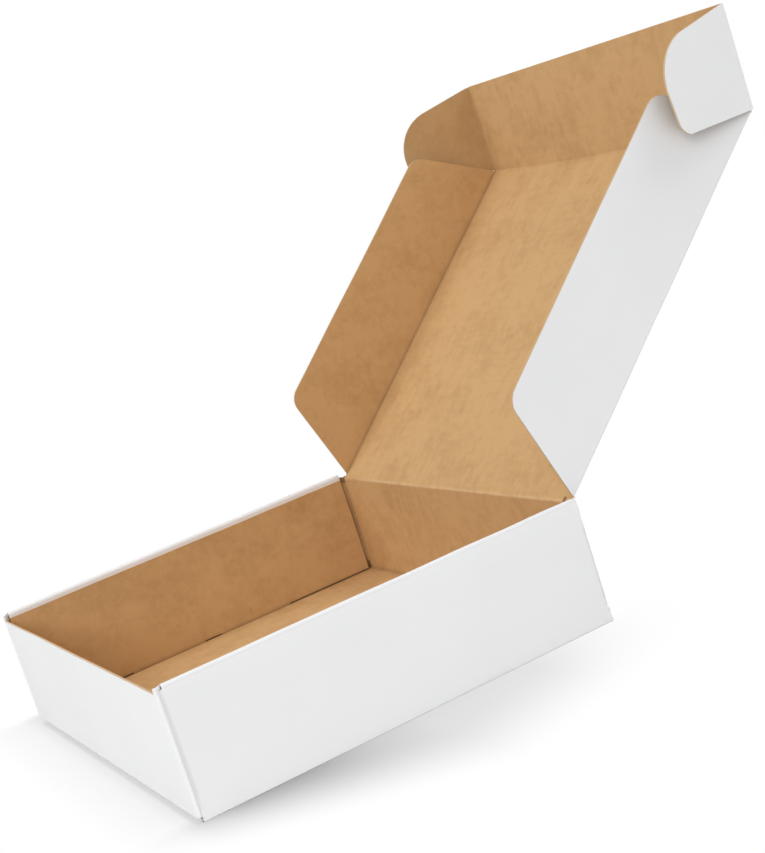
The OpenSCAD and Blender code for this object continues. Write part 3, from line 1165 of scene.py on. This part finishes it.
@dataclass
class Creases(LidPiece):
    """The two long creases: the lid's hinge on the back wall, and the tuck flap's on the lid."""

    wall_top: float = 59.9
    bend: float = 1.5
    shade_spot: float = 126.8
    shade_spot_half: float = 1.8
    white_end: float = 2.0

    def hinge(self) -> None:
        """Builds the lid's hinge, a rounded ridge inside whose kraft is painted lighter, partly rubbed paper
        and partly painted highlight, with a painted dark spot near its right end.
        """
        sheet = Sheet(self.board)
        corner = Vector(self.frames.hinge)
        y, z = corner.yz
        lean = self.frames.lid_open - 90.0
        reach = self.bend * math.tan(math.radians(lean / 2))
        marks = (self.shade_spot - self.shade_spot_half, self.shade_spot, self.shade_spot + self.shade_spot_half)
        row = sheet.wire([(x, y, self.wall_top) for x in stations(0, self.half, marks, 4.0)])
        row = sheet.pull(row, Z, [self.wall_top, z - reach - HOLD, z - reach])
        row = sheet.turn(row, Vector((0, y + self.bend, z - reach)), X, -lean)
        way = self.frames.lid().to_3x3() @ Y
        sheet.slide(row, way * (self.strip - reach), 3)
        sheet.mirror()
        near = lambda co, far: max(0.0, 1 - (co.yz - corner.yz).length / far)

        def knead(co: Vector) -> Vector:
            """Small kinks along the ridge."""
            lift = ripple(X * co.x, 0.5, 9.0, 2.5) + ripple(X * co.x, 0.35, 27.0, 7.5)
            return Vector((0, -0.55, 0.8)) * lift * near(co, 1.6)

        sheet.shape(knead)
        # painted highlight and rubbing along the ridge, weaker towards its left end
        sheet.mark("ridge", lambda co: near(co, 0.9) * min(1.0, max(0.15, (co.x + 125) / 30)))
        # painted shade: a dark spot where the ridge passes behind the right wall's roll
        in_shade_spot = lambda co: abs(co.x - self.shade_spot) < 0.1 and abs(co.z - z - 0.4) < 0.9
        sheet.mark("shade", lambda co: 3.0 if in_shade_spot(co) else 0.0)
        sheet.face_out(lambda c: c.z < z - 1.0, Y)
        sheet.thicken(Y)
        sheet.paint(lambda c: c.x > self.half - self.white_end, Side.WHITE, cut=True)
        made = sheet.finish("hinge_crease", self.finishes, "lid_board")
        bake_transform(made)

    def tuck(self) -> None:
        """Builds the crease between the lid and its tuck flap."""
        sheet = Sheet(self.board)
        length, fold = self.frames.lid_length, math.radians(self.frames.tuck_fold)
        reach = self.bend * math.tan(fold / 2)
        row = sheet.wire([(x, length - self.front_strip, 0) for x in stations(0, self.half, (), 6.0)])
        row = sheet.pull(row, Y, [length - self.front_strip, length - reach - 0.1, length - reach])
        row = sheet.turn(row, Vector((0, length - reach, self.bend)), X, self.frames.tuck_fold)
        sheet.slide(row, Vector((0, math.cos(fold), math.sin(fold))) * (self.strip - reach), 2)
        sheet.mirror()
        past = lambda x: -1.1 if x < 1 - self.half else -0.5 if x > self.half - 1 else 0.0
        sheet.shape(lambda co: X * past(co.x))
        matrix = self.frames.lid()
        sheet.place(matrix)
        sheet.shape(self.sag.on_crease)
        crease = matrix @ Vector((0, length, 0))
        way, rise = matrix.to_3x3() @ Y, self.frames.tuck().to_3x3() @ Y
        sheet.face_out(lambda c: (c - crease).dot(way) < -0.8, matrix.to_3x3() @ -Z)
        sheet.thicken(way)
        sheet.paint(lambda c: c.x > self.half - self.white_end, Side.WHITE, cut=True)
        made = sheet.finish("tuck_crease", self.finishes, "lid_board")
        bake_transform(made)


# ---- studio


@dataclass(frozen=True)
class Lamp:
    """A square soft light that points at the box."""

    name: str
    place: Triple
    power: float
    size: float = 1.4
    target: Triple = (0.0, 0.0, 0.06)

    def build(self) -> None:
        """Adds the lamp to the scene."""
        data = bpy.data.lights.new(self.name, "AREA")
        data.shape, data.size, data.energy = "SQUARE", self.size, self.power
        lamp = add_object(self.name, data)
        lamp.location = self.place
        lamp.rotation_euler = (Vector(self.target) - Vector(self.place)).to_track_quat("-Z", "Y").to_euler()


@dataclass(frozen=True)
class Studio:
    """Pale floor, white surroundings, soft lamps and the camera."""

    floor_size: float = 9.0
    floor_drop: float = 0.0001
    ambient: float = 0.222
    eye: Triple = (856.28, -294.05, 265.23)
    ahead: Triple = (-0.90006, 0.40317, -0.16535)
    upward: Triple = (-0.01728, 0.34614, 0.93802)
    focal: float = 1734.7
    frame_height: float = 853.0
    lamps: tuple[Lamp, ...] = (
        Lamp("overhead", (0.0, 0.0, 2.4), 12.6),
        Lamp("right_front", (2.0, -1.6, 1.3), 34.0),
        Lamp("behind", (0.5, 1.6, 1.8), 23.8),
        Lamp("left_front", (-0.6, -1.6, 1.6), 17.0),
    )

    def floor(self) -> None:
        """Builds the floor as one flat sheet under the box."""
        bm = bmesh.new()
        bmesh.ops.create_grid(bm, x_segments=1, y_segments=1, size=self.floor_size)
        bmesh.ops.translate(bm, verts=bm.verts, vec=(0, 0, -self.floor_drop))
        floor = add_mesh("floor", bm, [PaleFloor().make()])

    def world(self) -> None:
        """Surrounds the scene with soft light that the camera and reflections see as white."""
        n = Nodes(bpy.data.worlds.new("studio"))
        white = (1.0, 1.0, 1.0, 1.0)
        looks = [{"Color": white, "Strength": power} for power in (self.ambient, 1.0)]
        lights = [n.add("Background", look)["Background"] for look in looks]
        path = n.add("LightPath")
        seen = n.math("MAXIMUM", path["Is Camera Ray"], path["Is Glossy Ray"])
        bpy.context.scene.world = n.end(n.add("MixShader", dict(enumerate((seen, *lights))))["Shader"])

    def camera(self) -> None:
        """Sets the camera where the photograph was taken from."""
        data = bpy.data.cameras.new("camera")
        data.sensor_width = 36.0
        data.lens = self.focal / self.frame_height * data.sensor_width
        data.clip_start, data.clip_end = 0.05, 60.0
        camera = add_object("camera", data)
        ahead = Vector(self.ahead).normalized()
        right = ahead.cross(Vector(self.upward)).normalized()
        turn = Matrix((right, right.cross(ahead), -ahead)).transposed().to_4x4()
        camera.matrix_world = Matrix.Translation(Vector(self.eye) * MM) @ turn
        bpy.context.scene.camera = camera

    def build(self) -> None:
        """Builds the whole studio."""
        bpy.context.scene.view_settings.view_transform = "Standard"
        self.floor()
        self.world()
        for lamp in self.lamps:
            lamp.build()
        self.camera()


def main() -> None:
    """Builds the box and its studio."""
    logging.basicConfig(level=logging.INFO, format="%(message)s")
    board, frames = Board(), Frames()
    finishes = [WhiteLiner().make(), KraftLiner().make(), CutEdge().make()]
    shared = (board, finishes, frames, Sag(frames))
    Tray(board, finishes).build()
    Lid(*shared).build()
    TuckFlap(*shared).build()
    creases = Creases(*shared)
    creases.hinge()
    creases.tuck()
    Studio().build()


if __name__ == "__main__":
    main()
